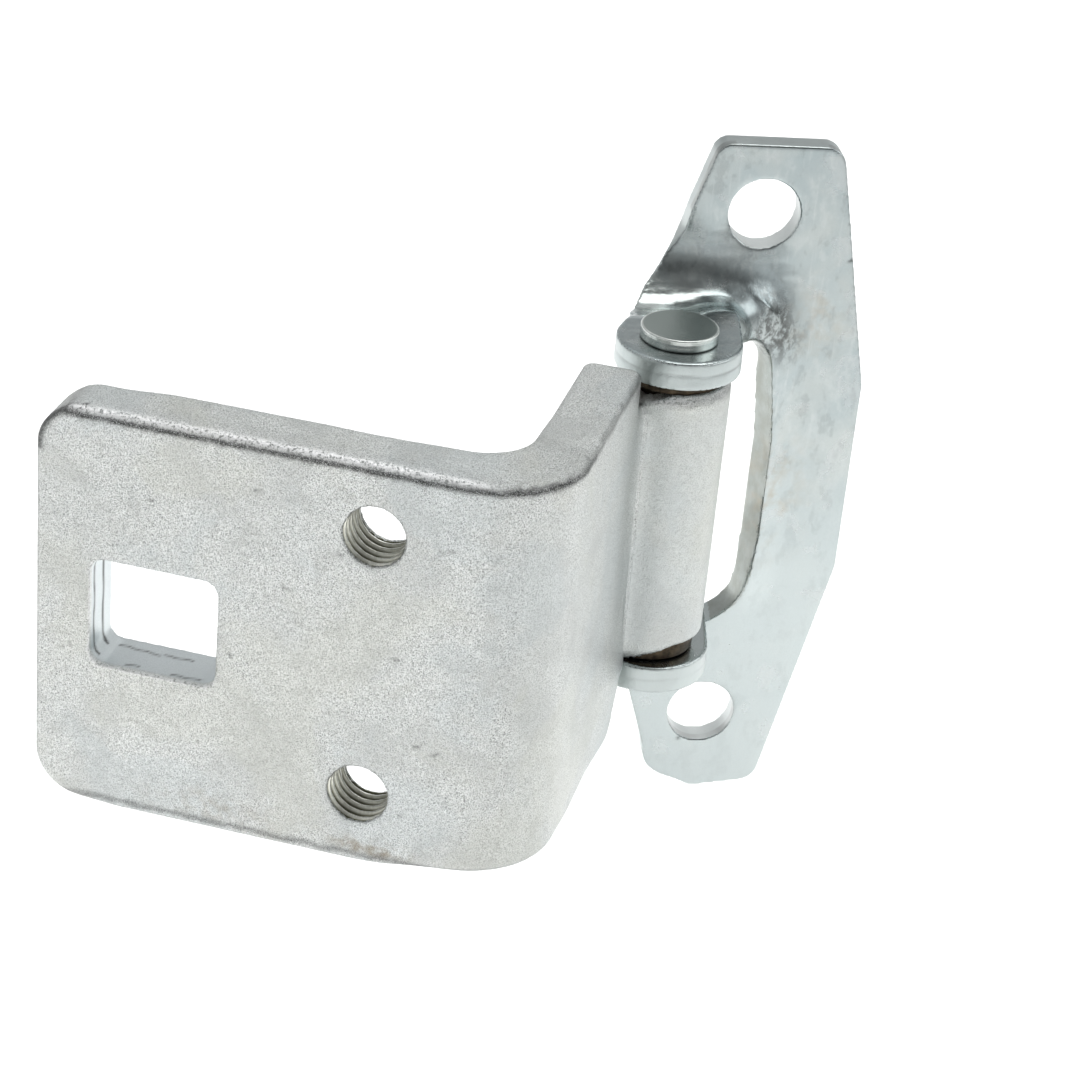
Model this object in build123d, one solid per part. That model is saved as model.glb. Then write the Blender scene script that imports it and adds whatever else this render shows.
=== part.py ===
from build123d import *
import math
import os

os.makedirs("parts", exist_ok=True)

# ---------------------------------------------------------------------------
# Car door hinge, in millimetres.
#
# Frame: the origin is the middle of the two pillar bolt holes, on the mounting
# face of the pillar bracket.  +Z runs up along the hinge pin, +Y points out of
# the mounting face into the pillar, and the bracket's ears reach towards -Y.
#
# Both halves are drawn in a pin frame first: s runs sideways, d runs forward
# (towards the door side) from the pin's axis, and z runs up.
# ---------------------------------------------------------------------------

# pillar bracket: one stamped and folded sheet
SHEET = 4.3            # sheet thickness
BOLT_Z = 43.95         # bolt hole centres above and below the origin
BOLT_R = 5.5           # clearance hole for a 10 mm bolt
PIN_X = -15.45         # pin axis, sideways from the bolt holes
FRONT_D = -22.3        # front face of the sheet, behind the pin axis
PIN_Y = FRONT_D - SHEET    # pin axis in front of the mounting face (-26.6)
EDGE_S = 34.4          # straight right edge, sideways from the pin axis
EAR_R = 9.3            # rounded end of each ear
EAR_CX = 0.15
EAR_LO_CX = 0.5          # and of the lower ear
EAR_UP_TOP = 33.2      # top face of the upper ear
EAR_LO_TOP = -17.2     # top face of the lower ear
FOLD_R = 8.5           # inside radius of each ear's fold
FOLD_OUT = FOLD_R + SHEET
CORNER_R = 2.0         # window corner, measured on the ears' inner faces
WINDOW_S = 13.2        # line on which the folded margin of the spine would stand
CREASE_S = WINDOW_S + FOLD_OUT   # where the spine's margin starts to turn

# hinge pin
PIN_R = 4.0
HEAD_R = 5.75
HEAD_TOP = 35.1
TAIL_R = 5.2
TAIL_Z = -23.2

# door leaf: one forged L with a rolled knuckle
YAW = -21.24           # turn of the leaf about the pin, as stored
LEAF_T = 8.5
LEAF_TOP = 31.9
LEAF_BOT = -30.35
LEAF_MID = 0.5 * (LEAF_TOP + LEAF_BOT)
PLATE_D = 54.55        # outer face of the plate, in front of the pin axis
PLATE_S = -76.7        # free edge of the plate
FLANGE_S = -2.85       # outer face of the flange
BEND_OUT = 13.5
BEND_IN = 7.5
CORNER_TOP = 6.5
CORNER_BOT = 7.2
EDGE_FILLET = 1.0
SLOT_S0, SLOT_S1 = -68.6, -50.0    # rectangular hole
SLOT_HALF = 8.3
SLOT_R = 2.2
THREAD_S = -28.45      # two threaded holes
THREAD_DZ = 20.3
THREAD_R = 4.3         # wall of the tapped hole, inside its thread
THREAD_MOUTH = 0.2
FLANGE_END = 10.2      # where the flange stops above and below the knuckle
KNUCKLE_R = 8.45
KNUCKLE_TOP = 28.4
KNUCKLE_BOT = -16.9
KNUCKLE_BLEND = 1.0    # hollow blend between flange and knuckle
KNUCKLE_CHAMFER = 0.5
# the knuckle's ends run down towards the flange, as (s, z) of the sloping part
END_TOP = ((-2.95, 25.5), (3.64, 28.4))
END_BOT = ((-0.67, -16.9), (5.56, -14.1))
TOP_BEVEL = (2.2, 1.2)             # height and depth of the rough bevel on top
SEAT_R = 7.6                       # recesses round the bushes' flanges
SEAT_TOP, SEAT_BOT = 27.3, -14.1

# flanged bushes
BUSH_BORE = PIN_R + 0.04
BUSH_R = 5.0
BUSH_FLANGE_R = 7.3
BUSH_LEN = 13.0
BUSH_UP_T = 1.3
BUSH_LO_T = 2.8


def pin_frame(shape, yaw=0.0):
    """From the pin frame (s, -d, z) to the row frame."""
    return Pos(PIN_X, PIN_Y, 0) * (Rot(0, 0, yaw) * shape)


def rounded(points, radii):
    """Closed outline with a rounding at each corner, as a list of edges in XY."""
    n = len(points)
    edges = []
    starts, ends, mids = [], [], []
    for i in range(n):
        p0 = Vector(*points[i - 1])
        p1 = Vector(*points[i])
        p2 = Vector(*points[(i + 1) % n])
        a = (p0 - p1).normalized()
        b = (p2 - p1).normalized()
        ang = math.acos(max(-1, min(1, a.dot(b))))
        r = radii[i]
        t = r / math.tan(ang / 2) if r > 0 else 0
        starts.append(p1 + a * t)
        ends.append(p1 + b * t)
        if r > 0:
            bis = (a + b).normalized()
            centre = p1 + bis * (r / math.sin(ang / 2))
            mids.append(centre - bis * r)
        else:
            mids.append(None)
    for i in range(n):
        if mids[i] is not None:
            edges.append(ThreePointArc(starts[i], mids[i], ends[i]))
        nxt = (i + 1) % n
        if (starts[nxt] - ends[i]).length > 1e-6:
            edges.append(Line(ends[i], starts[nxt]))
    return edges


# ---------------------------------------------------------------------------
# Pillar bracket
# ---------------------------------------------------------------------------
Y_FRONT = -FRONT_D       # pin frame uses y = -d
Y_BACK = Y_FRONT + SHEET
UP_FOLD_Z = EAR_UP_TOP + FOLD_R            # where the upper fold leaves the sheet
LO_FOLD_Z = EAR_LO_TOP - SHEET - FOLD_R    # where the lower fold leaves the sheet
FOLD_END = 10.6                            # right end of the upper ear's straight fold
CX = WINDOW_S - CORNER_R                   # lower window corner's centre
CZ_UP = EAR_UP_TOP - SHEET - CORNER_R
CZ_LO = EAR_LO_TOP + CORNER_R

# outline of the flat sheet, as (s, z) with a corner radius
outline = [
    (7.7, 54.8, 2.6),
    (26.5, 54.8, 3.2),
    (EDGE_S, 16.0, 6.0),
    (EDGE_S, -16.5, 6.0),
    (25.7, -57.0, 3.4),
    (15.0, -58.5, 3.0),
    (7.3, -53.2, 4.0),
    (-0.07, -30.0, 0.0),
    (-0.07, -29.0, 0.0),
    (CX, -29.0, 0.0),
    (CX, 29.0, 0.0),
    (3.6, 29.0, 0.0),
    (3.6, UP_FOLD_Z, 0.0),
]
edges = rounded([(p[0], p[1]) for p in outline], [p[2] for p in outline])
sheet_face = make_face(edges)
plate = Rot(90, 0, 0) * extrude(sheet_face, amount=SHEET, dir=(0, 0, 1))
plate = Pos(0, Y_BACK, 0) * plate

# the window with its folded margin, taken out of the flat sheet
win_r = CORNER_R + FOLD_OUT
win = [
    (-40, UP_FOLD_Z, 0.0),
    (CREASE_S, UP_FOLD_Z, 0.0),
    (CREASE_S, LO_FOLD_Z, win_r),
    (-40, LO_FOLD_Z, 0.0),
]
win_edges = rounded([(p[0], p[1]) for p in win], [p[2] for p in win])
win_face = make_face(win_edges)
# the upper corner's crease is drawn wide: sheet left standing outside it
crease = Bezier((FOLD_END, UP_FOLD_Z), (19.0, UP_FOLD_Z), (CREASE_S, 35.0), (CREASE_S, 17.0))
corner_face = make_face([crease, Line((CREASE_S, 17.0), (CREASE_S, UP_FOLD_Z)),
                         Line((CREASE_S, UP_FOLD_Z), (FOLD_END, UP_FOLD_Z))])
win_face = win_face - corner_face
win_cut = Pos(0, Y_BACK + 5, 0) * (Rot(90, 0, 0) * extrude(win_face, amount=40, dir=(0, 0, 1)))
plate = plate - win_cut


def sector(alpha_deg, run):
    """Folded margin of the sheet, as (r, y) points: r is measured from the
    window corner's centre and y backwards.  The fold turns by alpha and then
    runs on straight."""
    al = math.radians(alpha_deg)
    rc = CORNER_R + FOLD_OUT
    yc = Y_BACK - FOLD_OUT
    def on(rad, a, ahead=0.0):
        return (rc - rad * math.sin(a) - ahead * math.cos(a),
                yc + rad * math.cos(a) - ahead * math.sin(a))
    return dict(o0=on(FOLD_OUT, 0), om=on(FOLD_OUT, al / 2), o1=on(FOLD_OUT, al),
                o2=on(FOLD_OUT, al, run), i2=on(FOLD_R, al, run),
                i0=on(FOLD_R, 0), im=on(FOLD_R, al / 2), i1=on(FOLD_R, al))


def sector_wire(alpha_deg, run, phi_deg, cz, up, dz=0.0):
    """The margin's section standing at an angle phi round a window corner."""
    s = sector(alpha_deg, run)
    c, n = math.cos(math.radians(phi_deg)), math.sin(math.radians(phi_deg))
    def put(p):
        r, y = p
        return (CX + r * c, y, cz + dz + (r * n if up else -r * n))
    return Wire([
        Edge.make_three_point_arc(put(s["o0"]), put(s["om"]), put(s["o1"])),
        Edge.make_line(put(s["o1"]), put(s["o2"])),
        Edge.make_line(put(s["o2"]), put(s["i2"])),
        Edge.make_line(put(s["i2"]), put(s["i1"])),
        Edge.make_three_point_arc(put(s["i1"]), put(s["im"]), put(s["i0"])),
        Edge.make_line(put(s["i0"]), put(s["o0"])),
    ])


RUN0 = 0.1
# The window's margin, drawn forward from the upper ear round the corner, down
# the spine and round to the lower ear: at each station the crease point (s, z)
# on the sheet, the free front edge (s, z, d) and its angle to the sheet there
DRAW = [
    ((10.6, 41.7), (10.6, 33.2, -11.0), 90),
    ((13.4, 41.65), (11.9, 31.2, -11.6), 84),
    ((17.0, 40.85), (13.2, 28.9, -13.8), 62),
    ((20.0, 38.8), (14.7, 26.8, -16.4), 43),
    ((22.6, 35.2), (16.1, 25.3, -17.7), 34),
    ((24.4, 31.0), (17.3, 24.1, -18.5), 30),
    ((25.4, 26.8), (18.3, 22.7, -19.0), 29),
    ((25.9, 22.2), (18.9, 20.9, -19.2), 29),
    ((26.0, 18.6), (19.3, 18.3, -19.3), 30),
    ((26.0, 15.0), (19.75, 15.0, -19.5), 31),
    ((26.0, 10.5), (20.4, 10.5, -20.0), 33),
    ((26.0, 6.0), (20.9, 6.0, -20.55), 35),
    ((26.0, 1.0), (21.0, 1.0, -20.65), 35.5),
    ((26.0, -4.5), (21.0, -4.5, -20.65), 35.5),
    ((26.0, -10.0), (20.9, -10.0, -20.55), 35),
    ((26.0, -14.0), (20.5, -13.6, -20.2), 31),
    ((25.5, -19.2), (20.1, -17.2, -19.9), 28),
    ((23.9, -22.8), (19.5, -20.2, -20.4), 23),
    ((21.6, -25.7), (18.6, -22.6, -21.1), 18),
    ((18.5, -28.1), (16.7, -24.9, -21.5), 15),
    ((15.0, -29.5), (14.4, -26.6, -21.7), 14),
    ((11.2, -30.0), (11.2, -27.3, -21.8), 14),
]
OVERLAP = 0.3            # how far the drawn margin reaches into the flat sheet
SKIN = 0.02              # and how far below its faces


def drawn_wire(crease_pt, edge_pt, al_deg):
    """Section of the drawn margin through its crease and its free edge."""
    cs, cz = crease_pt
    fs, fz, fd = edge_pt
    al = math.radians(al_deg)
    length = math.hypot(cs - fs, cz - fz)
    us, uz = (cs - fs) / length, (cz - fz) / length
    length += OVERLAP
    height = Y_FRONT + SKIN + fd
    # an arc through the angle, then a straight run up to the free edge
    if al_deg > 88:
        rad, run = length, height - length
    else:
        rad = (length * math.tan(al) - height) / (1 / math.cos(al) - 1)
        run = (length - rad * math.sin(al)) / math.cos(al)
    thick = SHEET - 2 * SKIN
    ss, sz = cs + us * OVERLAP, cz + uz * OVERLAP
    def on(r, y0, a, ahead=0.0):
        k = r * math.sin(a) + ahead * math.cos(a)
        return (ss - us * k, y0 - r * (1 - math.cos(a)) - ahead * math.sin(a), sz - uz * k)
    yf, yb, rb = Y_FRONT + SKIN, Y_BACK - SKIN, rad + thick
    b0, bm, b1 = on(rb, yb, 0), on(rb, yb, al / 2), on(rb, yb, al)
    f0, fm, f1 = on(rad, yf, 0), on(rad, yf, al / 2), on(rad, yf, al)
    b2, f2 = on(rb, yb, al, max(run, 0.05)), on(rad, yf, al, max(run, 0.05))
    return Wire([
        Edge.make_three_point_arc(b0, bm, b1), Edge.make_line(b1, b2),
        Edge.make_line(b2, f2), Edge.make_line(f2, f1),
        Edge.make_three_point_arc(f1, fm, f0), Edge.make_line(f0, b0),
    ])


margin = Solid.make_loft([drawn_wire(*st) for st in DRAW], ruled=False)

# folds of the two ears, full quarter turns along s
up_face = Face(sector_wire(90, RUN0, 90, CZ_UP, True))
lo_face = Face(sector_wire(90, RUN0, 90, CZ_LO, False))
up_fold = Pos(FOLD_END - CX, 0, 0) * Solid.extrude(up_face, Vector(-30, 0, 0))
lo_fold = Solid.extrude(lo_face, Vector(-30, 0, 0))

# flat part of each ear, with its rounded end (top view, y = -d)
def ear_outline(left_to, cx):
    """left_to is the point (s, y) where the ear's left side meets the sheet."""
    flare = math.radians(6.9)
    rx, ry = cx + EAR_R * math.cos(flare), -EAR_R * math.sin(flare)
    dx, dy = left_to[0] - cx, left_to[1]
    dist = math.hypot(dx, dy)
    base = math.atan2(dy, dx)
    off = math.acos(EAR_R / dist)
    ang = base + off
    lx, ly = cx + EAR_R * math.cos(ang), EAR_R * math.sin(ang)
    return (rx, ry), (lx, ly)


def ear(z0, left_to, end_s, cx):
    (rx, ry), (lx, ly) = ear_outline(left_to, cx)
    y_fold = Y_BACK - FOLD_OUT
    k = (y_fold - ly) / (left_to[1] - ly)
    px = lx + k * (left_to[0] - lx)
    tip = (cx, -EAR_R)
    # the right side runs back, then hollows out to meet the corner's run
    y_run = y_fold - 2.8
    y_flare = y_fold - 7.5
    sx = rx + (y_flare - ry) * math.tan(math.radians(6.9))
    edges = [
        Line((end_s, y_fold), (end_s, y_run)),
        Spline((end_s, y_run), (sx, y_flare), tangents=[(-0.2, -1), (-0.12, -1)]),
        Line((sx, y_flare), (rx, ry)),
        ThreePointArc((rx, ry), tip, (lx, ly)),
        Line((lx, ly), (px, y_fold)),
        Line((px, y_fold), (end_s, y_fold)),
    ]
    flat = Pos(0, 0, z0) * extrude(make_face(edges), amount=SHEET, dir=(0, 0, 1))
    return flat, (px, y_fold)


UP_LEFT = (3.6, Y_BACK)
LO_LEFT = (-0.07, Y_BACK)
up_ear, up_p = ear(EAR_UP_TOP - SHEET, UP_LEFT, FOLD_END, EAR_CX)
lo_ear, lo_p = ear(EAR_LO_TOP - SHEET, LO_LEFT, CX, EAR_LO_CX)


def trim_fold(fold, p, left_to, z_ear, z_sheet):
    """Slanting left side of a fold, seen from above and from the front."""
    plan = make_face(Polyline(
        (p[0], p[1] - 1), (p[0], p[1]), left_to, (left_to[0], left_to[1] + 5),
        (60, left_to[1] + 5), (60, p[1] - 1), close=True))
    lo, hi = min(z_ear, z_sheet) - 20, max(z_ear, z_sheet) + 20
    keep = Pos(0, 0, lo) * extrude(plan, amount=hi - lo, dir=(0, 0, 1))
    out = fold & keep
    front = make_face(Plane.XZ * Polyline(
        (p[0], z_ear), (left_to[0], z_sheet), (60, z_sheet), (60, 2 * z_ear - z_sheet),
        (p[0] - 30, 2 * z_ear - z_sheet), (p[0] - 30, z_ear), close=True))
    keep2 = Pos(0, 60, 0) * extrude(front, amount=120, dir=(0, -1, 0))
    return out & keep2


up_fold = trim_fold(up_fold, up_p, UP_LEFT, EAR_UP_TOP, UP_FOLD_Z)
lo_fold = trim_fold(lo_fold, lo_p, LO_LEFT, EAR_LO_TOP - SHEET, LO_FOLD_Z)

bracket = plate + up_fold + lo_fold + up_ear + lo_ear
bracket = bracket.fuse(margin, tol=0.001).solids()[0]

# pin hole through both ears
bracket = bracket - Pos(0, 0, 5) * Cylinder(PIN_R, 120)
# pillar bolt holes
for z in (BOLT_Z, -BOLT_Z):
    bracket = bracket - Pos(-PIN_X, Y_BACK, z) * (Rot(90, 0, 0) * Cylinder(BOLT_R, 30))

pillar_bracket = pin_frame(bracket)

# ---------------------------------------------------------------------------
# Hinge pin: turned head above the upper ear, riveted tail below the lower ear
# ---------------------------------------------------------------------------
head = Pos(0, 0, EAR_UP_TOP) * Cylinder(HEAD_R, HEAD_TOP - EAR_UP_TOP,
                                        align=(Align.CENTER, Align.CENTER, Align.MIN))
head = fillet(head.edges().sort_by(Axis.Z)[-1], 0.35)
EAR_LO_BOT = EAR_LO_TOP - SHEET
shank = Pos(0, 0, EAR_LO_BOT) * Cylinder(PIN_R, EAR_UP_TOP - EAR_LO_BOT,
                                         align=(Align.CENTER, Align.CENTER, Align.MIN))
tail = Pos(0, 0, TAIL_Z) * Cylinder(TAIL_R, EAR_LO_BOT - TAIL_Z,
                                    align=(Align.CENTER, Align.CENTER, Align.MIN))
tail = fillet(tail.edges().sort_by(Axis.Z)[0], 1.0)
hinge_pin = pin_frame(head + shank + tail)

# ---------------------------------------------------------------------------
# Door leaf
# ---------------------------------------------------------------------------
PF = -PLATE_D                     # plate's outer face, y = -d
PB = PF + LEAF_T                  # plate's inner face
FO = FLANGE_S                     # flange's outer face
FI = FLANGE_S - LEAF_T            # flange's inner face

# L section, ending square in front of the knuckle
l_pts = [
    (PLATE_S, PF, 0.0), (FO, PF, BEND_OUT), (FO, -FLANGE_END, 1.6),
    (FI, -FLANGE_END, 1.6), (FI, PB, BEND_IN), (PLATE_S, PB, 0.0),
]
l_face = make_face(rounded([(p[0], p[1]) for p in l_pts], [p[2] for p in l_pts]))
body = Pos(0, 0, LEAF_BOT) * extrude(l_face, amount=LEAF_TOP - LEAF_BOT, dir=(0, 0, 1))

# rounded free corners of the plate
corner_edges = body.edges().filter_by(Axis.Y).group_by(Axis.X)[0].sort_by(Axis.Z)
body = fillet(corner_edges[0], CORNER_BOT)
top_edge = body.edges().filter_by(Axis.Y).filter_by(
    lambda e: abs(e.center().X - PLATE_S) < 0.01 and abs(e.center().Z - LEAF_TOP) < 0.01)
body = fillet(top_edge, CORNER_TOP)

# softened edges all round the top, the free end and the bottom
soft = body.edges().filter_by(
    lambda e: (abs(e.center().Z - LEAF_TOP) < 0.01 or abs(e.center().Z - LEAF_BOT) < 0.01
               or e.center().X < PLATE_S + 4.0)
    and e.center().Z > LEAF_BOT - 0.01)
soft = [e for e in soft if not (abs(e.tangent_at(0.5).Y) > 0.99 and e.center().X < PLATE_S + 4)]
body = fillet(soft, EDGE_FILLET)

# neck between the flange and the knuckle, with a hollow blend outside
rho = KNUCKLE_BLEND
bx = FO + rho
by = -math.sqrt((KNUCKLE_R + rho) ** 2 - bx ** 2)
tx, ty = bx * KNUCKLE_R / (KNUCKLE_R + rho), by * KNUCKLE_R / (KNUCKLE_R + rho)
m_ang = math.atan2(by, bx)
a0 = math.pi                                   # contact on the flange's face
a1 = math.atan2(-by, -bx)                      # contact on the knuckle
am = 0.5 * (a0 + a1)
mid = (bx + rho * math.cos(am), by + rho * math.sin(am))
# inner side runs on past the pin's axis, then rounds into the knuckle's back
neck_edges = [
    Line((FO, -FLANGE_END - 6), (FO, by)),
    ThreePointArc((FO, by), mid, (tx, ty)),
    Line((tx, ty), (0, 0)),
    Line((0, 0), (-KNUCKLE_R * math.cos(math.radians(55)), KNUCKLE_R * math.sin(math.radians(55)))),
    Line((-KNUCKLE_R * math.cos(math.radians(55)), KNUCKLE_R * math.sin(math.radians(55))),
         (FI + 1.7, 1.6)),
    ThreePointArc((FI + 1.7, 1.6), (FI + 0.42, -0.6), (FI, -3.0)),
    Line((FI, -3.0), (FI, -FLANGE_END - 6)),
    Line((FI, -FLANGE_END - 6), (FO, -FLANGE_END - 6)),
]
neck = Pos(0, 0, KNUCKLE_BOT) * extrude(make_face(neck_edges),
                                        amount=KNUCKLE_TOP - KNUCKLE_BOT, dir=(0, 0, 1))
barrel = Pos(0, 0, KNUCKLE_BOT) * Cylinder(KNUCKLE_R, KNUCKLE_TOP - KNUCKLE_BOT,
                                           align=(Align.CENTER, Align.CENTER, Align.MIN))
rims = barrel.edges().filter_by(GeomType.CIRCLE).sort_by(Axis.Z)
barrel = chamfer(rims[0], KNUCKLE_CHAMFER)
bevel = Pos(0, 0, KNUCKLE_TOP - 0.5 * TOP_BEVEL[0]) * (
    Cylinder(KNUCKLE_R + 2, TOP_BEVEL[0])
    - Cone(KNUCKLE_R, KNUCKLE_R - TOP_BEVEL[1], TOP_BEVEL[0]))
# material of the blend that stands in front of the ears' path, above and below
full_neck = Pos(0, 0, LEAF_BOT + 1.0) * extrude(
    make_face(neck_edges), amount=LEAF_TOP - LEAF_BOT - 2.0, dir=(0, 0, 1))
front_only = Pos(-5, -FLANGE_END - 10, 0) * Box(40, 20, 90)
full_neck = full_neck & front_only

def across(points):
    """Prism along y on an outline given as (s, z)."""
    face = make_face(rounded(points, [0.0] * len(points)))
    return Pos(0, 20, 0) * (Rot(90, 0, 0) * extrude(face, amount=40, dir=(0, 0, 1)))


eye = (neck + barrel) - bevel
eye = eye - across([(-30, END_TOP[0][1]), END_TOP[0], END_TOP[1], (20, END_TOP[1][1]),
                    (20, 45), (-30, 45)])
eye = eye - across([(-30, -45), (20, -45), (20, END_BOT[1][1]), END_BOT[1], END_BOT[0],
                    (-30, END_BOT[0][1])])
leaf = body + full_neck + eye
leaf = leaf - Pos(0, 0, 5) * Cylinder(BUSH_R, 120)
leaf = leaf - Pos(0, 0, SEAT_TOP) * Cylinder(
    SEAT_R, 2.0, align=(Align.CENTER, Align.CENTER, Align.MIN))
leaf = leaf - Pos(0, 0, SEAT_BOT) * Cylinder(
    SEAT_R, 4.0, align=(Align.CENTER, Align.CENTER, Align.MAX))

# rectangular hole through the plate
slot_face = make_face(rounded(
    [(SLOT_S0, LEAF_MID - SLOT_HALF), (SLOT_S1, LEAF_MID - SLOT_HALF),
     (SLOT_S1, LEAF_MID + SLOT_HALF), (SLOT_S0, LEAF_MID + SLOT_HALF)], [SLOT_R] * 4))
slot = Pos(0, PB + 5, 0) * (Rot(90, 0, 0) * extrude(slot_face, amount=LEAF_T + 10, dir=(0, 0, 1)))
leaf = leaf - slot

# tapped holes with a small countersink at each mouth
for dz in (THREAD_DZ, -THREAD_DZ):
    at = Pos(THREAD_S, 0.5 * (PF + PB), LEAF_MID + dz) * Rot(90, 0, 0)
    leaf = leaf - at * Cylinder(THREAD_R, LEAF_T + 10)
    for side in (1, -1):
        mouth = Cone(THREAD_R, THREAD_R + 2 * THREAD_MOUTH, 2 * THREAD_MOUTH)
        mouth = Rot(0 if side > 0 else 180, 0, 0) * mouth
        leaf = leaf - at * Pos(0, 0, side * 0.5 * LEAF_T) * mouth

door_leaf = pin_frame(leaf, YAW)

# ---------------------------------------------------------------------------
# Flanged bushes, pressed into the two ends of the knuckle
# ---------------------------------------------------------------------------
def bush(z_end, sign, flange_t):
    tube = Pos(0, 0, z_end - sign * BUSH_LEN / 2) * Cylinder(BUSH_R, BUSH_LEN)
    flange = Pos(0, 0, z_end + sign * flange_t / 2) * Cylinder(BUSH_FLANGE_R, flange_t)
    out = tube + flange
    return out - Pos(0, 0, z_end) * Cylinder(BUSH_BORE, 60)


upper_bush = pin_frame(bush(SEAT_TOP, 1, BUSH_UP_T), YAW)
lower_bush = pin_frame(bush(SEAT_BOT, -1, BUSH_LO_T), YAW)

# ---------------------------------------------------------------------------
for name, shape in (
    ("pillar_bracket", pillar_bracket),
    ("hinge_pin", hinge_pin),
    ("door_leaf", door_leaf),
    ("upper_bush", upper_bush),
    ("lower_bush", lower_bush),
):
    export_step(shape, os.path.join("parts", name + ".step"))
    print(name, round(shape.volume, 1), shape.is_valid)
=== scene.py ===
"""Car door hinge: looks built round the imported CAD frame.

Everything is in metres in the row frame.  The helper arrays below work in
millimetres, either in the pin frame of the pillar bracket (s, y, z), whose
origin is on the hinge pin, or in the door leaf's frame, which is the same
frame turned about the pin."""
import math

import bmesh
import bpy
import numpy as np
from mathutils import Matrix, Vector


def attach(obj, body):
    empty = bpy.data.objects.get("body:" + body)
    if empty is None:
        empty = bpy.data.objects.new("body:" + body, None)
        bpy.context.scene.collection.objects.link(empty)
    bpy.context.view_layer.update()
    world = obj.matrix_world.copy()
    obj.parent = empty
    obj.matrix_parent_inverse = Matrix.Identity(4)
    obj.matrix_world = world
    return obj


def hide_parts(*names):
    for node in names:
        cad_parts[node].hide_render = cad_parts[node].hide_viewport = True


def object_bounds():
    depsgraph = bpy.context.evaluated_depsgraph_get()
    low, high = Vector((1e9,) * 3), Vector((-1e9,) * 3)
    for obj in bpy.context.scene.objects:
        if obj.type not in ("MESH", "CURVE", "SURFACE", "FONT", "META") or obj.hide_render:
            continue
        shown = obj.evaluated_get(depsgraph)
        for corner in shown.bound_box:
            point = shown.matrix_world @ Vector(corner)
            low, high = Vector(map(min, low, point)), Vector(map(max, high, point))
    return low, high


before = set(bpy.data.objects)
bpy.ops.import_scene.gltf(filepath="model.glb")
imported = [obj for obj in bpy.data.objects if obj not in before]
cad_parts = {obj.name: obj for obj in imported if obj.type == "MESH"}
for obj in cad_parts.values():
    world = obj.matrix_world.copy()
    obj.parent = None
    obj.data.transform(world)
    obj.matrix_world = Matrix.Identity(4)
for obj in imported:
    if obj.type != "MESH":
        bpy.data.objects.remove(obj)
cad_lo, cad_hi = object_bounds()
scene = bpy.context.scene

PIN = np.array([-15.45, -26.6, 0.0])       # pin axis in the row frame, mm
LEAF_YAW = math.radians(-21.24)            # the door leaf's turn about the pin

# ---------------------------------------------------------------------------
# numbers shared with the CAD part, mm
# ---------------------------------------------------------------------------
SHEET = 4.3
EAR_UP_TOP, EAR_LO_TOP = 33.2, -17.2
Y_FRONT, Y_BACK = 22.3, 26.6
LEAF_T = 8.5
PLATE_Y = -54.55                           # plate's outer face in the leaf frame
PLATE_S = -76.7
FLANGE_S = -2.85
LEAF_TOP, LEAF_BOT = 31.9, -30.35
BEND_OUT, BEND_IN = 13.5, 7.5
THREAD_S, THREAD_MID, THREAD_DZ = -28.45, 0.775, 20.3
THREAD_R = 4.3
SLOT = (-68.6, -50.0, 0.775 - 8.3, 0.775 + 8.3)
KNUCKLE_R = 8.45
SEAT_BOT, SEAT_TOP = -14.1, 27.3           # where the bushes' flanges sit


def to_local(co, yaw=0.0):
    """Row frame metres to the pin frame (or the leaf's frame), mm."""
    p = np.asarray(co, float) * 1000.0 - PIN
    c, s = math.cos(-yaw), math.sin(-yaw)
    out = p.copy()
    out[:, 0] = c * p[:, 0] - s * p[:, 1]
    out[:, 1] = s * p[:, 0] + c * p[:, 1]
    return out


def to_row(p, yaw=0.0):
    c, s = math.cos(yaw), math.sin(yaw)
    out = np.array(p, float)
    x, y = out[:, 0].copy(), out[:, 1].copy()
    out[:, 0] = c * x - s * y
    out[:, 1] = s * x + c * y
    return (out + PIN) / 1000.0


# ---------------------------------------------------------------------------
# seeded value noise for the meshes
# ---------------------------------------------------------------------------
def _hash(ix, iy, iz, seed):
    h = (ix * 374761393 + iy * 668265263 + iz * 2147483647 + seed * 974634777) & 0xFFFFFFFF
    h = ((h ^ (h >> 13)) * 1274126177) & 0xFFFFFFFF
    h = (h ^ (h >> 16)) & 0xFFFFFFFF
    return h.astype(np.float64) / 4294967295.0


def noise(p, size, seed=0, stretch=(1, 1, 1)):
    """Smooth noise from -1 to 1 with features about `size` mm across."""
    q = p / (np.array(stretch) * size)
    i = np.floor(q).astype(np.int64)
    f = q - i
    u = f * f * f * (f * (f * 6 - 15) + 10)
    out = np.zeros(len(p))
    for dx in (0, 1):
        for dy in (0, 1):
            for dz in (0, 1):
                w = (np.where(dx, u[:, 0], 1 - u[:, 0]) * np.where(dy, u[:, 1], 1 - u[:, 1])
                     * np.where(dz, u[:, 2], 1 - u[:, 2]))
                out += w * _hash(i[:, 0] + dx, i[:, 1] + dy, i[:, 2] + dz, seed)
    return out * 2 - 1


def fbm(p, size, octaves=3, seed=0):
    out, amp = np.zeros(len(p)), 1.0
    for k in range(octaves):
        out += amp * noise(p, size / 2 ** k, seed + 17 * k)
        amp *= 0.5
    return out / 1.75


def step(x, a, b):
    """0 at a, 1 at b, smooth in between."""
    t = np.clip((x - a) / (b - a), 0, 1)
    return t * t * (3 - 2 * t)


# ---------------------------------------------------------------------------
# mesh helpers
# ---------------------------------------------------------------------------
def link(ob):
    scene.collection.objects.link(ob)
    return ob


def new_object(name, verts, faces, smooth=True):
    me = bpy.data.meshes.new(name)
    me.from_pydata([tuple(v) for v in verts], [], [tuple(f) for f in faces])
    me.update()
    if smooth:
        me.shade_smooth()
    return link(bpy.data.objects.new(name, me))


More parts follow.
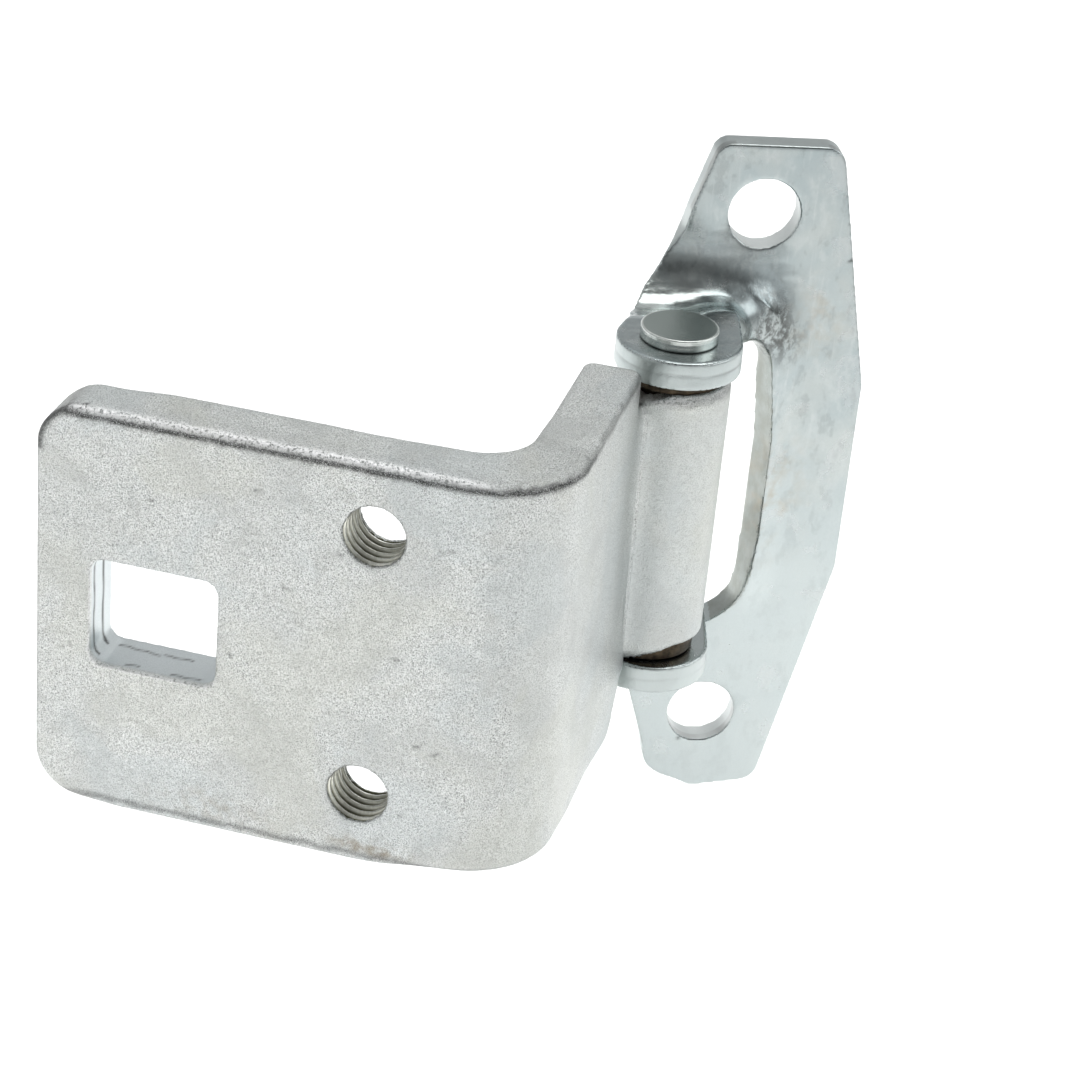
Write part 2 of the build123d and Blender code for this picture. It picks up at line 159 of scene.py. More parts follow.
def working_copy(node, name):
    """A new object with the CAD node's surface, its doubled seam points merged."""
    bm = bmesh.new()
    bm.from_mesh(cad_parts[node].data)
    bmesh.ops.remove_doubles(bm, verts=bm.verts, dist=4e-6)
    me = bpy.data.meshes.new(name)
    bm.to_mesh(me)
    bm.free()
    for a in [a.name for a in me.attributes if a.name.startswith("custom_normal")]:
        me.attributes.remove(me.attributes[a])
    me.materials.clear()
    return link(bpy.data.objects.new(name, me))


def bake_modifiers(ob):
    dg = bpy.context.evaluated_depsgraph_get()
    me = bpy.data.meshes.new_from_object(ob.evaluated_get(dg))
    ob.modifiers.clear()
    old = ob.data
    ob.data = me
    me.name = ob.name
    bpy.data.meshes.remove(old)
    ob.data.shade_smooth()
    return ob


def remesh(ob, voxel_mm, smooth_times):
    m = ob.modifiers.new("remesh", "REMESH")
    m.mode = "VOXEL"
    m.voxel_size = voxel_mm / 1000.0
    m.adaptivity = 0.0
    m.use_smooth_shade = True
    if smooth_times:
        s = ob.modifiers.new("smooth", "SMOOTH")
        s.factor = 0.5
        s.iterations = smooth_times
    return bake_modifiers(ob)


def coords(ob):
    co = np.zeros(len(ob.data.vertices) * 3, np.float32)
    ob.data.vertices.foreach_get("co", co)
    return co.reshape(-1, 3).astype(float)


def normals(ob):
    n = np.zeros(len(ob.data.vertices) * 3, np.float32)
    ob.data.vertex_normals.foreach_get("vector", n)
    return n.reshape(-1, 3).astype(float)


def relax(ob, weights, times):
    """Smooth the mesh where weights (0 to 1 on the points) ask for it."""
    ei = np.zeros(len(ob.data.edges) * 2, np.int32)
    ob.data.edges.foreach_get("vertices", ei)
    a, b = ei[0::2], ei[1::2]
    p = coords(ob)
    act = weights > 0.003
    keep = act[a] | act[b]
    a, b = a[keep], b[keep]
    count = np.bincount(a, minlength=len(p)) + np.bincount(b, minlength=len(p))
    w = (weights * 0.6)[:, None] / np.maximum(count, 1)[:, None]
    w[~act] = 0
    for _ in range(times):
        d = p[b] - p[a]
        move = np.stack([np.bincount(a, d[:, k], len(p)) - np.bincount(b, d[:, k], len(p))
                         for k in range(3)], 1)
        p = p + w * move
    put(ob, p)


def turn(n, yaw):
    c, s = math.cos(-yaw), math.sin(-yaw)
    return np.stack([c * n[:, 0] - s * n[:, 1], s * n[:, 0] + c * n[:, 1], n[:, 2]], 1)


def put(ob, co):
    ob.data.vertices.foreach_set("co", co.astype(np.float32).ravel())
    ob.data.update()


def paint(ob, name, values):
    """A float attribute on the points, read by the material."""
    a = ob.data.attributes.get(name) or ob.data.attributes.new(name, "FLOAT", "POINT")
    a.data.foreach_set("value", np.asarray(values, np.float32))


# ---------------------------------------------------------------------------
# material helpers
# ---------------------------------------------------------------------------
class Tree:
    def __init__(self, name):
        self.mat = bpy.data.materials.new(name)
        self.mat.use_nodes = True
        self.t = self.mat.node_tree
        self.t.nodes.clear()
        self.out = self.t.nodes.new("ShaderNodeOutputMaterial")
        self.bsdf = self.t.nodes.new("ShaderNodeBsdfPrincipled")
        self.t.links.new(self.bsdf.outputs[0], self.out.inputs[0])
        self.coord = self.t.nodes.new("ShaderNodeTexCoord").outputs["Object"]

    def put(self, socket, value):
        if isinstance(value, bpy.types.NodeSocket):
            self.t.links.new(value, socket)
        elif value is not None:
            if hasattr(socket.default_value, "__len__") and not hasattr(value, "__len__"):
                value = (value, value, value, 1.0)[: len(socket.default_value)]
            if hasattr(value, "__len__") and len(value) == 3 and len(socket.default_value) == 4:
                value = (*value, 1.0)
            socket.default_value = value

    def vec(self, scale=(1, 1, 1), offset=(0, 0, 0), turn_z=0.0):
        """Object coordinates in mm, stretched, for a texture."""
        n = self.t.nodes.new("ShaderNodeMapping")
        self.t.links.new(self.coord, n.inputs["Vector"])
        n.inputs["Scale"].default_value = [1000.0 * k for k in scale]
        n.inputs["Location"].default_value = offset
        n.inputs["Rotation"].default_value = (0, 0, turn_z)
        return n.outputs[0]

    def noise(self, vec, scale, detail=2.0, rough=0.5, distortion=0.0, out="Fac"):
        n = self.t.nodes.new("ShaderNodeTexNoise")
        self.t.links.new(vec, n.inputs["Vector"])
        n.inputs["Scale"].default_value = scale
        n.inputs["Detail"].default_value = detail
        n.inputs["Roughness"].default_value = rough
        n.inputs["Distortion"].default_value = distortion
        return n.outputs[out]

    def voronoi(self, vec, scale, feature="F1", out="Distance", randomness=1.0):
        n = self.t.nodes.new("ShaderNodeTexVoronoi")
        n.feature = feature
        self.t.links.new(vec, n.inputs["Vector"])
        n.inputs["Scale"].default_value = scale
        n.inputs["Randomness"].default_value = randomness
        return n.outputs[out]

    def ramp(self, fac, stops, interp="LINEAR"):
        n = self.t.nodes.new("ShaderNodeValToRGB")
        n.color_ramp.interpolation = interp
        els = n.color_ramp.elements
        while len(els) < len(stops):
            els.new(0.5)
        for e, (pos, col) in zip(els, stops):
            e.position = pos
            col = (col, col, col) if not hasattr(col, "__len__") else col
            e.color = (*col, 1.0)
        self.put(n.inputs[0], fac)
        return n.outputs[0]

    def math(self, op, a, b=None, c=None, clamp=False):
        n = self.t.nodes.new("ShaderNodeMath")
        n.operation = op
        n.use_clamp = clamp
        for s, v in zip(n.inputs, (a, b, c)):
            if v is not None:
                self.put(s, v)
        return n.outputs[0]

    def map(self, x, a, b, c=0.0, d=1.0):
        n = self.t.nodes.new("ShaderNodeMapRange")
        n.interpolation_type = "SMOOTHSTEP"
        for s, v in zip(n.inputs, (x, a, b, c, d)):
            self.put(s, v)
        return n.outputs[0]

    def mix(self, fac, a, b, mode="MIX"):
        n = self.t.nodes.new("ShaderNodeMix")
        n.data_type = "RGBA"
        n.blend_type = mode
        self.put(n.inputs[0], fac)
        self.put(n.inputs[6], a)
        self.put(n.inputs[7], b)
        return n.outputs[2]

    def attr(self, name):
        n = self.t.nodes.new("ShaderNodeAttribute")
        n.attribute_name = name
        return n.outputs["Fac"]

    def xyz(self, vec):
        n = self.t.nodes.new("ShaderNodeSeparateXYZ")
        self.t.links.new(vec, n.inputs[0])
        return n.outputs

    def bump(self, height, distance, strength=1.0, under=None):
        n = self.t.nodes.new("ShaderNodeBump")
        n.inputs["Strength"].default_value = strength
        n.inputs["Distance"].default_value = distance
        self.put(n.inputs["Height"], height)
        if under is not None:
            self.t.links.new(under, n.inputs["Normal"])
        return n.outputs[0]

    def surface(self, color, rough, metallic=1.0, normal=None, **consts):
        self.put(self.bsdf.inputs["Base Color"], color)
        self.put(self.bsdf.inputs["Roughness"], rough)
        self.put(self.bsdf.inputs["Metallic"], metallic)
        if normal is not None:
            self.t.links.new(normal, self.bsdf.inputs["Normal"])
        for k, v in consts.items():
            self.bsdf.inputs[k.replace("_", " ")].default_value = v
        return self.mat


# ---------------------------------------------------------------------------
# materials
# ---------------------------------------------------------------------------
def leaf_zinc():
    """Shot-blasted, zinc-plated steel: a fine sparkling grain, faint bluish and
    yellowish patches, small dark pits and scratches."""
    m = Tree("leaf_zinc_visual")
    v = m.vec()
    grain = m.noise(v, 5.4, 1.5, 0.55)
    speck = m.noise(m.vec(offset=(3, 1, 8)), 7.6, 1.0, 0.5)
    coarse = m.noise(v, 1.1, 3.0, 0.6)
    patches = m.noise(v, 0.060, 4.0, 0.55, 0.6)
    tint = m.noise(m.vec(offset=(11, 4, 7)), 0.045, 4.0, 0.55, 0.5)
    base = m.ramp(grain, [(0.24, (0.17, 0.175, 0.165)), (0.41, (0.53, 0.545, 0.53)),
                          (0.53, (0.82, 0.84, 0.82)), (0.66, (0.99, 1.0, 0.99))])
    base = m.mix(m.map(speck, 0.59, 0.70, 0.0, 0.70), base, (0.98, 0.99, 0.98))
    base = m.mix(m.map(speck, 0.38, 0.28, 0.0, 0.75), base, (0.18, 0.18, 0.17))
    base = m.mix(m.map(coarse, 0.30, 0.72, 0.0, 0.22), base, (0.80, 0.815, 0.795))
    blotch = m.noise(m.vec(offset=(1, 6, 2)), 0.30, 5.0, 0.65, 0.4)
    base = m.mix(m.map(blotch, 0.50, 0.32, 0.0, 0.24), base, (0.42, 0.43, 0.41))
    calm = m.attr("calm")
    base = m.mix(m.math("MULTIPLY", calm, 0.8), base,
                 m.ramp(coarse, [(0.25, (0.585, 0.615, 0.595)), (0.7, (0.73, 0.765, 0.74))]))
    base = m.mix(m.map(patches, 0.45, 0.62, 0.0, 0.40), base, (0.57, 0.585, 0.57))
    base = m.mix(m.map(tint, 0.50, 0.62, 0.0, 0.20), base, (0.70, 0.70, 0.60))
    base = m.mix(m.map(tint, 0.48, 0.38, 0.0, 0.22), base, (0.58, 0.645, 0.67))
    pits = m.map(m.voronoi(v, 0.62), 0.09, 0.045, 0.0, 0.5)
    base = m.mix(pits, base, (0.18, 0.18, 0.17))
    smooth = m.attr("smooth")
    base = m.mix(m.math("MULTIPLY", smooth, 0.85), base, (0.72, 0.77, 0.785))
    # painted shade: the grain greyed a little in the hollow between flange and knuckle
    hollow = m.attr("hollow")
    base = m.mix(m.math("MULTIPLY", hollow, 0.35), base, (0.60, 0.63, 0.61))
    stain = m.math("MULTIPLY", m.attr("stain"), m.map(m.noise(v, 0.5, 4.0, 0.6), 0.35, 0.7))
    base = m.mix(stain, base, (0.26, 0.20, 0.12))
    base = m.mix(m.math("MULTIPLY", m.attr("tone"), 0.13), base, (0.10, 0.105, 0.10))
    # painted shade: the rounded corners of the plate's outline darkened
    base = m.mix(m.math("MULTIPLY", m.attr("rim_shade"), m.map(coarse, 0.25, 0.65, 0.85, 0.45)), base,
                 (0.26, 0.265, 0.26))
    # painted shade: dark lines under the top edge, on other edge roundings and on the knuckle's top bevel
    base = m.mix(m.math("MULTIPLY", m.attr("below"), m.map(speck, 0.70, 0.50, 0.35, 0.98)), base,
                 (0.06, 0.062, 0.06))
    # painted highlight: white and dark glints on the torn edges and the knuckle's top bevel
    painted_glint = m.attr("painted_glint")
    chips = m.noise(m.vec(offset=(7, 7, 1)), 2.6, 2.0, 0.6)
    base = m.mix(m.math("MULTIPLY", painted_glint, m.map(chips, 0.41, 0.49)), base, (1.0, 1.0, 1.0))
    base = m.mix(m.math("MULTIPLY", painted_glint, m.map(chips, 0.40, 0.31)), base, (0.34, 0.345, 0.34))
    base = m.mix(m.math("MULTIPLY", m.attr("dark"), 0.85), base, (0.06, 0.06, 0.06))
    keep = m.math("SUBTRACT", 1.0, m.math("MAXIMUM", m.math("MULTIPLY", smooth, 0.85),
                                          m.math("MULTIPLY", calm, 0.55)))
    h = m.math("ADD", m.math("MULTIPLY", grain, 0.9), m.math("MULTIPLY", coarse, 0.8))
    h = m.math("ADD", h, m.math("MULTIPLY", m.math("MULTIPLY", painted_glint, chips), 1.2))
    h = m.math("MULTIPLY", h, keep)
    nrm = m.bump(h, 0.00020, 1.0)
    rough = m.math("ADD", 0.29, m.math("MULTIPLY", coarse, 0.22))
    chip_metal = m.math("MULTIPLY", m.math("MULTIPLY", painted_glint, m.map(chips, 0.44, 0.52)), 0.45)
    return m.surface(base, rough, m.math("SUBTRACT", 1.0, chip_metal), nrm)


def bracket_zinc():
    """Bright zinc on rolled sheet: smoother and bluer, cloudy white bloom."""
    m = Tree("bracket_zinc_visual")
    v = m.vec()
    fine = m.noise(v, 4.0, 2.0, 0.5)
    ripple = m.noise(m.vec((1, 1, 0.35)), 0.55, 3.0, 0.5)
    cloud = m.noise(v, 0.085, 4.0, 0.5, 0.8)
    bloom = m.noise(m.vec(offset=(5, 9, 2)), 0.16, 5.0, 0.6, 0.5)
    base = m.ramp(cloud, [(0.32, (0.42, 0.485, 0.495)), (0.5, (0.475, 0.53, 0.53)),
                          (0.68, (0.53, 0.57, 0.555))])
    # painted light: the colour turns lighter towards the bottom of the bracket, standing in for the brighter floor
    # reflected low down
    low = m.map(m.xyz(m.coord)["Z"], 0.022, -0.030)
    base = m.mix(m.math("MULTIPLY", low, 0.85), base, (0.60, 0.655, 0.65))
    mottle = m.noise(m.vec((1, 1, 0.6), (2, 3, 9)), 0.42, 5.0, 0.62)
    scuff = m.noise(m.vec((1.6, 1.6, 0.12), (1, 0, 4)), 0.9, 3.0, 0.6)
    high = m.math("SUBTRACT", 1.0, m.math("MULTIPLY", low, 0.75))
    base = m.mix(m.math("MULTIPLY", high, m.map(mottle, 0.48, 0.36, 0.0, 0.42)), base, (0.30, 0.33, 0.33))
    base = m.mix(m.math("MULTIPLY", high, m.map(mottle, 0.54, 0.68, 0.0, 0.40)), base, (0.62, 0.66, 0.65))
    base = m.mix(m.math("MULTIPLY", high, m.map(scuff, 0.56, 0.70, 0.0, 0.22)), base, (0.68, 0.71, 0.70))
    base = m.mix(m.map(bloom, 0.52, 0.70, 0.0, 0.30), base, (0.72, 0.74, 0.73))
    base = m.mix(m.map(fine, 0.35, 0.7, 0.0, 0.12), base, (0.38, 0.40, 0.40))
    cut = m.attr("cut")
    base = m.mix(m.math("MULTIPLY", cut, 0.75), base, (0.52, 0.565, 0.555))
    base = m.mix(m.math("MULTIPLY", m.attr("band"), 0.65), base, (0.20, 0.21, 0.21))
    base = m.mix(m.math("MULTIPLY", m.attr("spine"), m.map(mottle, 0.3, 0.7, 0.95, 0.5)), base,
                 (0.33, 0.345, 0.315))
    # painted shade: a thin dark line along the sheet's outline
    base = m.mix(m.math("MULTIPLY", m.attr("outline_shade"), 0.75), base, (0.24, 0.25, 0.245))
    # painted shade on the drawn corner's creases, over their real crinkle bumps
    crinkle_and_shade = m.attr("crinkle_and_shade")
    cr = m.noise(m.vec((1, 1, 0.8)), 0.95, 5.0, 0.66, 0.4)
    cr = m.math("ADD", cr, m.math("MULTIPLY", m.attr("lines"), 0.12))
    base = m.mix(m.math("MULTIPLY", crinkle_and_shade, m.map(cr, 0.64, 0.42, 0.10, 0.95)), base,
                 (0.13, 0.137, 0.133))
    stain = m.math("MULTIPLY", m.attr("stain"), m.map(m.noise(v, 0.35, 4.0, 0.6), 0.42, 0.7))
    base = m.mix(stain, base, (0.45, 0.40, 0.32))
    # painted highlight: the hole bores whiter and less metallic, a painted sheen
    shine = m.attr("shine")
    base = m.mix(shine, base, (0.99, 0.99, 0.98))
    base = m.mix(m.math("MULTIPLY", m.attr("dark"), 0.9), base, (0.08, 0.085, 0.08))
    h = m.math("ADD", m.math("MULTIPLY", ripple, 0.7), m.math("MULTIPLY", fine, 0.12))
    h = m.math("ADD", h, m.math("MULTIPLY", m.math("MULTIPLY", crinkle_and_shade, cr), 1.4))
    h = m.math("ADD", h, m.math("MULTIPLY", m.math("MULTIPLY", cut, fine), 0.5))
    nrm = m.bump(h, 0.00012, 0.5)
    rough = m.math("ADD", m.map(bloom, 0.4, 0.7, 0.18, 0.30), m.math("MULTIPLY", cut, 0.10))
    rough = m.math("ADD", rough, m.math("MULTIPLY", shine, 0.35))
    metal = m.math("SUBTRACT", 1.0, m.math("MULTIPLY", shine, 0.85))
    return m.surface(base, rough, metal, nrm)


def pin_steel():
    """Turned bright steel."""
    m = Tree("pin_steel_visual")
    v = m.vec()
    base = m.ramp(m.noise(v, 0.5, 4.0, 0.6), [(0.3, (0.78, 0.81, 0.78)), (0.7, (0.95, 0.98, 0.95))])
    base = m.mix(m.attr("top"), base, (0.375, 0.43, 0.405))
    # painted shade where the pin meets the ear and inside the knuckle
    dark = m.attr("dark")
    base = m.mix(m.math("MULTIPLY", dark, 0.8), base, (0.05, 0.05, 0.045))
    turned = m.attr("turned")
    fine = m.noise(v, 3.0, 2.0, 0.5)
    h = m.math("ADD", m.math("MULTIPLY", turned, 0.6), m.math("MULTIPLY", fine, 0.4))
    nrm = m.bump(h, 0.00003, 0.5)
    return m.surface(base, 0.24, 1.0, nrm)


def bush_bronze():
    """Sintered bronze, browned by oil and darkened further to near black as painted shade, where the flanges sit
    tucked under the knuckle and the ears.
    """
    m = Tree("bush_bronze_visual")
    v = m.vec()
    n = m.noise(v, 1.2, 4.0, 0.6)
    base = m.ramp(n, [(0.3, (0.028, 0.021, 0.014)), (0.7, (0.10, 0.075, 0.048))])
    nrm = m.bump(m.noise(v, 4.0, 3.0, 0.6), 0.00006, 0.6)
    return m.surface(base, 0.38, 0.85, nrm)


def thread_steel():
    """Cut thread walls: near black in the roots as painted shade, near white on the crests as painted highlight,
    with oily brown patches.
    """
    m = Tree("thread_steel_visual")
    v = m.vec()
    crest = m.attr("crest")
    n = m.noise(v, 1.6, 4.0, 0.6)
    # painted shade in the roots, painted highlight on the crests
    base = m.ramp(crest, [(0.0, (0.06, 0.06, 0.035)), (0.45, (0.17, 0.17, 0.115)),
                          (0.76, (0.86, 0.86, 0.76)), (1.0, (0.99, 0.99, 0.93))])
    base = m.mix(m.map(n, 0.4, 0.65, 0.0, 0.25), base, (0.30, 0.29, 0.22))
    nrm = m.bump(n, 0.00008, 0.6)
    return m.surface(base, 0.34, 1.0, nrm)


MAT = {"leaf": leaf_zinc(), "bracket": bracket_zinc(), "pin": pin_steel(),
       "bush": bush_bronze(), "thread": thread_steel()}


def dress(ob, mat, body, slot, *nodes):
    ob.data.materials.clear()
    ob.data.materials.append(MAT[mat])
    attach(ob, body)
    if nodes:
        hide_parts(*nodes)
    return ob


# ---------------------------------------------------------------------------
# door leaf
# ---------------------------------------------------------------------------
def make_leaf():
    ob = remesh(working_copy("door_leaf", "door_leaf_visual"), 0.42, 2)
    p = to_local(coords(ob), LEAF_YAW)
    n = turn(normals(ob), LEAF_YAW)
    s, y, z = p[:, 0], p[:, 1], p[:, 2]

    # the hollow between flange and knuckle is washed out, without a line
    soft = np.exp(-((s + 2.2) / 3.2) ** 2 - ((y + 8.9) / 2.8) ** 2) \
        * step(z, -26.0, -23.0) * (1 - step(z, 23.0, 25.5)) * step(n[:, 0] - n[:, 1], 0.2, 0.6)
    relax(ob, soft, 130)
    p = to_local(coords(ob), LEAF_YAW)
    s, y, z = p[:, 0], p[:, 1], p[:, 2]

    # tapped holes: past the mouth the wall is cut back to clear the thread
    ts, zc = THREAD_S, np.where(z > THREAD_MID, THREAD_MID + THREAD_DZ, THREAD_MID - THREAD_DZ)
    dx, dz = s - ts, z - zc
    r = np.hypot(dx, dz)
    depth = np.minimum(y - PLATE_Y, PLATE_Y + LEAF_T - y)
    inside = (r < THREAD_R + 0.6) & (y < PLATE_Y + LEAF_T + 1) & (np.abs(n[:, 1]) < 0.8)
    push = np.where(inside, step(depth, 0.35, 0.9) * np.clip(THREAD_R + 1.15 - r, 0, 1.3), 0)
    k = 1 + push / np.maximum(r, 1e-6)
    s = np.where(inside, ts + dx * k, s)
    z = np.where(inside, zc + dz * k, z)

    # the bend: metal gathers on the inside, the outside draws in
    cs, cy = FLANGE_S - BEND_OUT, PLATE_Y + BEND_OUT
    rad = np.hypot(s - cs, y - cy)
    bend_region = (s > cs - 26) & (y < cy + 16)
    along = np.where(y - PLATE_Y < LEAF_T + 1.5, s - cs, 14 + (y - cy))     # runs round the L
    hump = step(along, -22, -2) * (1 - step(along, 16, 27)) * bend_region
    from_face = np.where(along < 0, y - PLATE_Y, np.where(y > cy, FLANGE_S - s, BEND_OUT - rad))
    inner = step(from_face, 1.0, LEAF_T)
    outer = 1 - step(from_face, 0.0, 4.5)
    tight = step(along, -9, 3) * (1 - step(along, 13, 24)) * bend_region
    top = step(z, LEAF_TOP - 8, LEAF_TOP - 0.5)
    bot = step(-z, -LEAF_BOT - 10, -LEAF_BOT - 0.5)
    z = z + top * (0.62 * inner * hump - 0.30 * outer * tight)
    z = z + bot * (1.15 * outer * tight - 0.45 * inner * hump)
    plate = (s < cs - 4) * (y < PLATE_Y + LEAF_T + 1)
    z = z + plate * top * (0.50 * step(y - PLATE_Y, 3.0, 7.5) * step(s, PLATE_S + 9, PLATE_S + 18) * (1 - step(s, cs - 24, cs - 8))
                           - 0.55 * (1 - step(s, PLATE_S + 1.0, PLATE_S + 7.0)))
    z = z - plate * bot * 0.50 * step(s, PLATE_S + 5, PLATE_S + 14) * (1 - step(s, cs - 12, cs - 4))

    # below the knuckle the flange's end swells out towards it
    d_z = np.interp(z, [-30, -27, -23.4, -21.3, -19, -16.6, -14, -11, -5, 5, 12],
                    [0.55, 0.95, 1.40, 1.60, 1.80, 2.05, 1.25, 0.75, 0.4, 0.15, 0])
    swell = d_z * step(y, -23, -10.5) * step(s, -9.5, -3.2) * step(np.hypot(s, y), 8.8, 10.4) * (y < -8)
    s = s + swell
    p = np.stack([s, y, z], 1)

    # gentle unevenness of the pressed and blasted surface
    lump = 0.035 * fbm(p, 9.0, 2, 3) + 0.014 * fbm(p, 1.6, 2, 9)
    grain = 0.015 * noise(p, 0.50, 21)
    wall = (r < THREAD_R + 1.6) & (depth > 0.4)
    inslot = ((s > SLOT[0] - 0.3) & (s < SLOT[1] + 0.3) & (z > SLOT[2] - 0.3)
              & (z < SLOT[3] + 0.3) & (y < PLATE_Y + LEAF_T + 0.5))
    rough_place = np.where(wall | (inslot & (depth > 0.8)), 0.15, 1.0)
    # the knuckle's upper bevel and the rims are coarser
    rim = np.where((np.hypot(s, y) < KNUCKLE_R + 0.3) & (z > 25.2), 1.0, 0.0)
    p = p + n * ((lump + grain) * rough_place + 0.07 * rim * noise(p, 0.8, 77))[:, None]
    put(ob, to_row(p, LEAF_YAW))

    # masks for the material
    s, y, z = p[:, 0], p[:, 1], p[:, 2]
    d_out = y - PLATE_Y
    face = (d_out < 1.2) & (s < -14)
    smooth = np.where(inslot, step(d_out, 0.35, 1.1), 0.0)
    at_knuckle = (np.hypot(s, y) < KNUCKLE_R + 0.5)
    past = step(np.hypot(s, y), KNUCKLE_R + 0.1, KNUCKLE_R + 2.6)
    smooth = np.maximum(smooth, 0.22 * step(y, -32, -14) * (n[:, 0] > 0.6) * past)
    # painted shade in the hollow between flange and knuckle
    hollow = (n[:, 0] > 0.3) * np.exp(-(np.maximum(-(y + 9.2), 0) / 6.0) ** 2) * (y > -30) * (s > -6)
    hollow = 0.75 * hollow * past
    stain = (0.9 * np.exp(-(((s + 26.5) / 5.5) ** 2 + ((z + 28.2) / 1.3) ** 2))
             + 0.35 * np.exp(-(((s + 50) / 9) ** 2 + ((z + 27.0) / 2.5) ** 2))) * face
    dark = np.zeros(len(s))
    # short scratches on the face: (s, z, length, angle, half width)
    for s0, z0, ln, deg, w in ((-18.3, 21.0, 2.2, 8, 0.10), (-17.6, -10.5, 1.6, 35, 0.12),
                               (-20.6, -10.0, 1.3, 20, 0.12), (-44.6, 24.4, 1.8, -6, 0.10),
                               (-40.2, 10.6, 1.6, -14, 0.09), (-33.0, 17.5, 1.2, -35, 0.10),
                               (-47.8, -1.6, 1.0, -40, 0.13), (-24.5, 3.0, 1.4, 10, 0.09),
                               (-13.8, 3.5, 1.2, -20, 0.10), (-60.0, 20.0, 1.3, -15, 0.09),
                               (-22.0, -21.5, 1.0, 15, 0.10), (-71.5, -5.0, 0.8, -30, 0.12)):
        a_ = math.radians(deg)
        u = (s - s0) * math.cos(a_) + (z - z0) * math.sin(a_)
        v = -(s - s0) * math.sin(a_) + (z - z0) * math.cos(a_)
        v = v - 0.25 * (u / max(ln, 0.1)) ** 2 * ln
        dark = np.maximum(dark, face * np.exp(-(v / (w + 0.10)) ** 2) * (np.abs(u) < ln / 2) * 0.62)
    # torn lines in the pierced hole's walls
    left_wall = inslot & (n[:, 0] > 0.6)
    floor_wall = inslot & (n[:, 2] > 0.6)
    for d0, w in ((1.9, 0.2), (5.2, 0.26)):
        dark = np.maximum(dark, left_wall * 2.6 * np.exp(-((d_out - d0 - 0.10 * np.sin(z * 0.9)) / w) ** 2))
    for s0, s1, d0, slope in ((-66.5, -59.8, 6.3, -0.10), (-59.5, -55.0, 5.9, 0.02),
                              (-63.5, -61.5, 1.6, 0.0), (-57.0, -52.2, 1.3, 0.03)):
        line = d_out - d0 - slope * (s - s0) - 0.12 * np.sin(s * 2.1)
        dark = np.maximum(dark, floor_wall * (s > s0) * (s < s1) * np.exp(-(line / 0.2) ** 2) * 0.9)
    # painted shade: the plate's rounded corners darkened all round its outline, and the top face's back rim too
    rim_shade = np.maximum(step(-n[:, 0], 0.30, 0.75) * (1 - 0.7 * step(-n[:, 0], 0.88, 0.98)) * (s < PLATE_S + 7),
                         step(-n[:, 2], 0.30, 0.75) * (1 - 0.7 * step(-n[:, 2], 0.88, 0.98)) * (z < LEAF_BOT + 7.5))
    rim_shade = np.maximum(rim_shade, step(n[:, 2], 0.30, 0.60) * step(-n[:, 0], 0.12, 0.45)
                         * (s < PLATE_S + 8))
    # painted shade: a dark line just under the plate's top edge, on its rounding
    below = 1.25 * np.exp(-((LEAF_TOP - 1.22 - 0.26 * noise(p, 0.9, 91) - z) / 0.50) ** 2) * (d_out < 3.2 + 14 * (s > -20)) * (s > PLATE_S + 4)
    back_rim = step(n[:, 2], 0.25, 0.6) * (1 - step(n[:, 2], 0.75, 0.95)) * (z > LEAF_TOP - 2) \
        * (~((d_out < 2.5) | (s > FLANGE_S - 2.5)))
    # the rim of the pierced hole and the top front edge are torn; painted highlight on them as white and dark
    # glints in the colour, and on the knuckle's top bevel too, brightest where the light falls
    rim_slot = 0.75 * inslot * np.exp(-((d_out - 0.15) / 0.32) ** 2) * ((n[:, 2] > 0.1) | (n[:, 0] > 0.3))
    edge = np.exp(-((LEAF_TOP - 0.30 - z) / 0.45) ** 2) * np.exp(-((d_out - 0.3) / 0.8) ** 2) * (s < -8)
    lit = 0.15 + 0.6 * np.exp(-((s - 0.5) / 3.2) ** 2)
    rim_soft = (np.hypot(s, y) < KNUCKLE_R + 0.3) * step(z + 0.25 * noise(p, 1.0, 97), 25.4, 27.0)
    painted_glint = np.maximum(np.maximum(rim_slot, edge), rim_soft * lit)
    paint(ob, "smooth", smooth)
    paint(ob, "hollow", hollow)
    paint(ob, "stain", stain)
    paint(ob, "dark", np.clip(dark, 0, 1))
    paint(ob, "painted_glint", painted_glint)
    paint(ob, "rim_shade", np.clip(np.maximum(rim_shade, 0.7 * back_rim), 0, 1))
    # more painted shade for the same mask: the top-left corner's rounding, under the flange's top edge, along the
    # bottom edge and on the knuckle's top bevel
    arc_r = np.hypot(s - (PLATE_S + 6.5), z - (LEAF_TOP - 6.5))
    arc_dark = (s < PLATE_S + 7.5) * (z > LEAF_TOP - 7.5) * (d_out < 1.3) * step(arc_r, 5.0, 5.9)
    flange_rim = np.exp(-((LEAF_TOP - 1.1 - 0.3 * noise(p, 1.6, 93) - z) / 0.65) ** 2) \
        * step(n[:, 0], 0.25, 0.6) * (s > -12) * (y < -8)
    foot = np.exp(-((z - LEAF_BOT - 0.9 - 0.25 * noise(p, 1.3, 95)) / 0.45) ** 2) * (d_out < 3)
    below = np.maximum(np.maximum(below, 0.85 * arc_dark), np.maximum(0.7 * flange_rim, 0.65 * foot))
    paint(ob, "below", np.clip(below + 0.42 * rim_soft, 0, 1))
    bendside = step(s, -17, -6) * (d_out < 16) * (~at_knuckle) + at_knuckle + (s > -6) * (n[:, 0] > 0.5)
    paint(ob, "tone", np.clip(bendside, 0, 1))
    side = (n[:, 0] > 0.55) & (s > -8)
    calm = np.where(at_knuckle | side, (0.25 + 0.50 * (1 - past)) * (z < 27), 0.0)
    calm = np.where(at_knuckle & (z >= 25.0) & (z < 27), 0.4, calm)
    calm = np.maximum(calm, 0.15 * (n[:, 2] > 0.7) * (z > LEAF_TOP - 2) * step(y, PLATE_Y + 2, PLATE_Y + 3.5))
    paint(ob, "calm", calm)
    dress(ob, "leaf", "leaf", "leaf_zinc", "door_leaf")
    return ob


